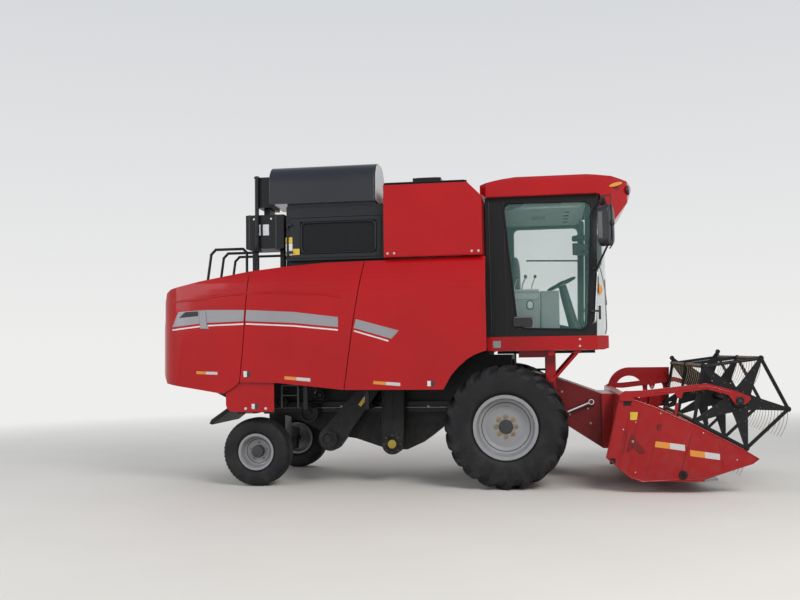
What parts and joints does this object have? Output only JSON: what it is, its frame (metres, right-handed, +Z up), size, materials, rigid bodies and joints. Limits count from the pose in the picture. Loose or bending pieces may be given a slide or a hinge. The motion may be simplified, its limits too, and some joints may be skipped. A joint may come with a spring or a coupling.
{
  "type": "combine harvester",
  "caption": "Self-propelled combine harvester with a grain header and tined reel, cab, grain tank, folded unloading auger and opening side shields.",
  "frame": {"origin": "on the ground under the middle of the machine's overall box", "axes": "+X forward, towards the header; +Y to the driver's left; +Z up"},
  "size_m": [7.4598, 2.95, 3.96],
  "materials": {
    "red_paint": "gloss",
    "dark_red_paint": "semi-gloss",
    "black_paint": "satin",
    "grey_paint": "satin",
    "rim_paint": "semi-gloss",
    "steel": "satin",
    "chrome": "polished",
    "cast": "matt",
    "tyre": "matt",
    "glass": "tinted",
    "plastic": "matt",
    "cloth": "matt",
    "console": "satin"
  },
  "bodies": {
    "machine": {"chassis_frame": "black_paint", "cab_stand": "red_paint", "cab_floor": "red_paint", "front_axle": "cast", "threshing_body": "black_paint", "rear_cover": "red_paint", "fixed_shields": "red_paint", "grain_tank": "red_paint", "engine_block": "cast", "engine_deck": "black_paint", "radiator_housing": "grey_paint", "cooling_hood": "black_paint", "air_cleaner": "black_paint", "elevators": "black_paint", "cab_shell": "black_paint", "cab_roof": "red_paint", "cab_glass": "glass", "seat": "cloth", "controls": "console", "side_platform": "black_paint", "mirrors": "plastic", "rear_axle_beam": "cast"},
    "front_wheel_right": {"front_tyre_right": "tyre", "front_rim_right": "rim_paint"},
    "front_wheel_left": {"front_tyre_left": "tyre", "front_rim_left": "rim_paint"},
    "steering_right": {"knuckle_right": "cast"},
    "steering_left": {"knuckle_left": "cast"},
    "track_rod": {"tie_rod": "steel"},
    "rear_wheel_right": {"rear_tyre_right": "tyre", "rear_rim_right": "rim_paint"},
    "rear_wheel_left": {"rear_tyre_left": "tyre", "rear_rim_left": "rim_paint"},
    "header": {"feeder_house": "dark_red_paint", "header_frame": "red_paint", "cutter_bar": "steel"},
    "auger": {"header_auger": "dark_red_paint"},
    "arms": {"reel_arms": "red_paint"},
    "reel": {"reel_rotor": "black_paint"},
    "bar_1": {"tine_bar_1": "black_paint"},
    "bar_2": {"tine_bar_2": "black_paint"},
    "bar_3": {"tine_bar_3": "black_paint"},
    "bar_4": {"tine_bar_4": "black_paint"},
    "bar_5": {"tine_bar_5": "black_paint"},
    "control_star": {"reel_star": "black_paint"},
    "lift_cylinders": {"lift_barrels": "dark_red_paint"},
    "lift_cylinder_rods": {"lift_rods": "chrome"},
    "reel_cylinders": {"reel_lift_barrels": "dark_red_paint"},
    "reel_cylinder_rods": {"reel_lift_rods": "chrome"},
    "unloader": {"unloading_auger": "red_paint"},
    "door": {"cab_door": "black_paint"},
    "shield_mid_right": {"mid_shield_right": "red_paint"},
    "shield_mid_left": {"mid_shield_left": "red_paint"},
    "shield_rear_right": {"rear_shield_right": "red_paint"},
    "shield_rear_left": {"rear_shield_left": "red_paint"},
    "lid_right": {"tank_lid_right": "black_paint"},
    "lid_left": {"tank_lid_left": "black_paint"},
    "screen": {"screen_door": "grey_paint"}
  },
  "joints": [
    {"name": "front_wheel_right_spin", "type": "hinge", "parent": "machine", "child": "front_wheel_right", "pos_m": [0.57007, -1.085, 0.73], "axis": [0, 1, 0], "continuous": true},
    {"name": "front_wheel_left_spin", "type": "hinge", "parent": "machine", "child": "front_wheel_left", "pos_m": [0.57007, 1.085, 0.73], "axis": [0, 1, 0], "continuous": true},
    {"name": "steer_right", "type": "hinge", "parent": "machine", "child": "steering_right", "pos_m": [-2.51993, -0.76, 0.42], "axis": [0, 0, 1], "range_deg": [-35, 35]},
    {"name": "steer_left", "type": "hinge", "parent": "machine", "child": "steering_left", "pos_m": [-2.51993, 0.76, 0.42], "axis": [0, 0, 1], "range_deg": [-35, 35]},
    {"name": "track_rod_turn", "type": "hinge", "parent": "steering_right", "child": "track_rod", "pos_m": [-2.69993, -0.76, 0.332], "axis": [0, 0, 1], "range_deg": [-35, 35]},
    {"name": "rear_wheel_right_spin", "type": "hinge", "parent": "steering_right", "child": "rear_wheel_right", "pos_m": [-2.51993, -0.965, 0.42], "axis": [0, 1, 0], "continuous": true},
    {"name": "rear_wheel_left_spin", "type": "hinge", "parent": "steering_left", "child": "rear_wheel_left", "pos_m": [-2.51993, 0.965, 0.42], "axis": [0, 1, 0], "continuous": true},
    {"name": "header_lift", "type": "hinge", "parent": "machine", "child": "header", "pos_m": [0.87006, 0, 1.22], "axis": [0, -1, 0], "range_deg": [-3, 24]},
    {"name": "header_auger_spin", "type": "hinge", "parent": "header", "child": "auger", "pos_m": [2.13007, 0, 0.46], "axis": [0, 1, 0], "continuous": true},
    {"name": "reel_lift", "type": "hinge", "parent": "header", "child": "arms", "pos_m": [1.99006, 0, 1.12], "axis": [0, -1, 0], "range_deg": [0, 22]},
    {"name": "reel_spin", "type": "hinge", "parent": "arms", "child": "reel", "pos_m": [3.17206, 0, 1.033], "axis": [0, 1, 0], "continuous": true},
    {"name": "bar_1_turn", "type": "hinge", "parent": "reel", "child": "bar_1", "pos_m": [3.69794, 0, 0.93459], "axis": [0, 1, 0], "continuous": true},
    {"name": "bar_2_turn", "type": "hinge", "parent": "reel", "child": "bar_2", "pos_m": [3.42816, 0, 1.50272], "axis": [0, 1, 0], "continuous": true},
    {"name": "bar_3_turn", "type": "hinge", "parent": "reel", "child": "bar_3", "pos_m": [2.80447, 0, 1.42172], "axis": [0, 1, 0], "continuous": true},
    {"name": "bar_4_turn", "type": "hinge", "parent": "reel", "child": "bar_4", "pos_m": [2.68878, 0, 0.80352], "axis": [0, 1, 0], "continuous": true},
    {"name": "bar_5_turn", "type": "hinge", "parent": "reel", "child": "bar_5", "pos_m": [3.24097, 0, 0.50246], "axis": [0, 1, 0], "continuous": true},
    {"name": "control_star_spin", "type": "hinge", "parent": "arms", "child": "control_star", "pos_m": [3.17206, 0, 1.108], "axis": [0, 1, 0], "continuous": true},
    {"name": "lift_cylinder_turn", "type": "hinge", "parent": "machine", "child": "lift_cylinders", "pos_m": [0.78507, 0, 0.655], "axis": [0, -1, 0], "range_deg": [-2.2, 15.6]},
    {"name": "lift_cylinder_stroke", "type": "slide", "parent": "lift_cylinders", "child": "lift_cylinder_rods", "axis": [0.9253, 0, 0.3793], "range_m": [-0.026, 0.195]},
    {"name": "reel_cylinder_turn", "type": "hinge", "parent": "header", "child": "reel_cylinders", "pos_m": [2.42007, 0, 0.6], "axis": [0, -1, 0], "range_deg": [-0.5, 6.2]},
    {"name": "reel_cylinder_stroke", "type": "slide", "parent": "reel_cylinders", "child": "reel_cylinder_rods", "axis": [0.2058, 0, 0.9786], "range_m": [-0.005, 0.2]},
    {"name": "unloader_swing", "type": "hinge", "parent": "machine", "child": "unloader", "pos_m": [0.14006, 1.185, 3.48], "axis": [0, 0, -1], "range_deg": [0, 90]},
    {"name": "door_swing", "type": "hinge", "parent": "machine", "child": "door", "pos_m": [1.62607, 0.888, 2.6], "axis": [0, 0, -1], "range_deg": [0, 85]},
    {"name": "mid_shield_right_lift", "type": "hinge", "parent": "machine", "child": "shield_mid_right", "pos_m": [-1.57994, -1.19, 2.69], "axis": [-1, 0, 0], "range_deg": [0, 75]},
    {"name": "mid_shield_left_lift", "type": "hinge", "parent": "machine", "child": "shield_mid_left", "pos_m": [-1.57994, 1.19, 2.69], "axis": [1, 0, 0], "range_deg": [0, 75]},
    {"name": "rear_shield_right_lift", "type": "hinge", "parent": "machine", "child": "shield_rear_right", "pos_m": [-2.86494, -1.19, 2.5], "axis": [-1, 0, 0], "range_deg": [0, 75]},
    {"name": "rear_shield_left_lift", "type": "hinge", "parent": "machine", "child": "shield_rear_left", "pos_m": [-2.86494, 1.19, 2.5], "axis": [1, 0, 0], "range_deg": [0, 75]},
    {"name": "tank_lid_right_lift", "type": "hinge", "parent": "machine", "child": "lid_right", "pos_m": [-0.24993, -1.291, 3.66], "axis": [1, 0, 0], "range_deg": [0, 100]},
    {"name": "tank_lid_left_lift", "type": "hinge", "parent": "machine", "child": "lid_left", "pos_m": [-0.24993, 0.991, 3.66], "axis": [-1, 0, 0], "range_deg": [0, 100]},
    {"name": "screen_door_swing", "type": "hinge", "parent": "machine", "child": "screen", "pos_m": [-2.06594, -1.198, 3.05], "axis": [0, 0, -1], "range_deg": [0, 100]}
  ],
  "couplings": [
    {"joint": "steer_left", "follows": "steer_right", "ratio": 1},
    {"joint": "track_rod_turn", "follows": "steer_right", "ratio": -1},
    {"joint": "lift_cylinder_turn", "follows": "header_lift", "ratio": 0.63743},
    {"joint": "lift_cylinder_stroke", "follows": "header_lift", "m_per_rad": 0.4537},
    {"joint": "reel_cylinder_turn", "follows": "reel_lift", "ratio": 0.23895},
    {"joint": "reel_cylinder_stroke", "follows": "reel_lift", "m_per_rad": 0.51302},
    {"joint": "bar_1_turn", "follows": "reel_spin", "ratio": -1},
    {"joint": "bar_2_turn", "follows": "reel_spin", "ratio": -1},
    {"joint": "bar_3_turn", "follows": "reel_spin", "ratio": -1},
    {"joint": "bar_4_turn", "follows": "reel_spin", "ratio": -1},
    {"joint": "bar_5_turn", "follows": "reel_spin", "ratio": -1},
    {"joint": "control_star_spin", "follows": "reel_spin", "ratio": 1}
  ]
}
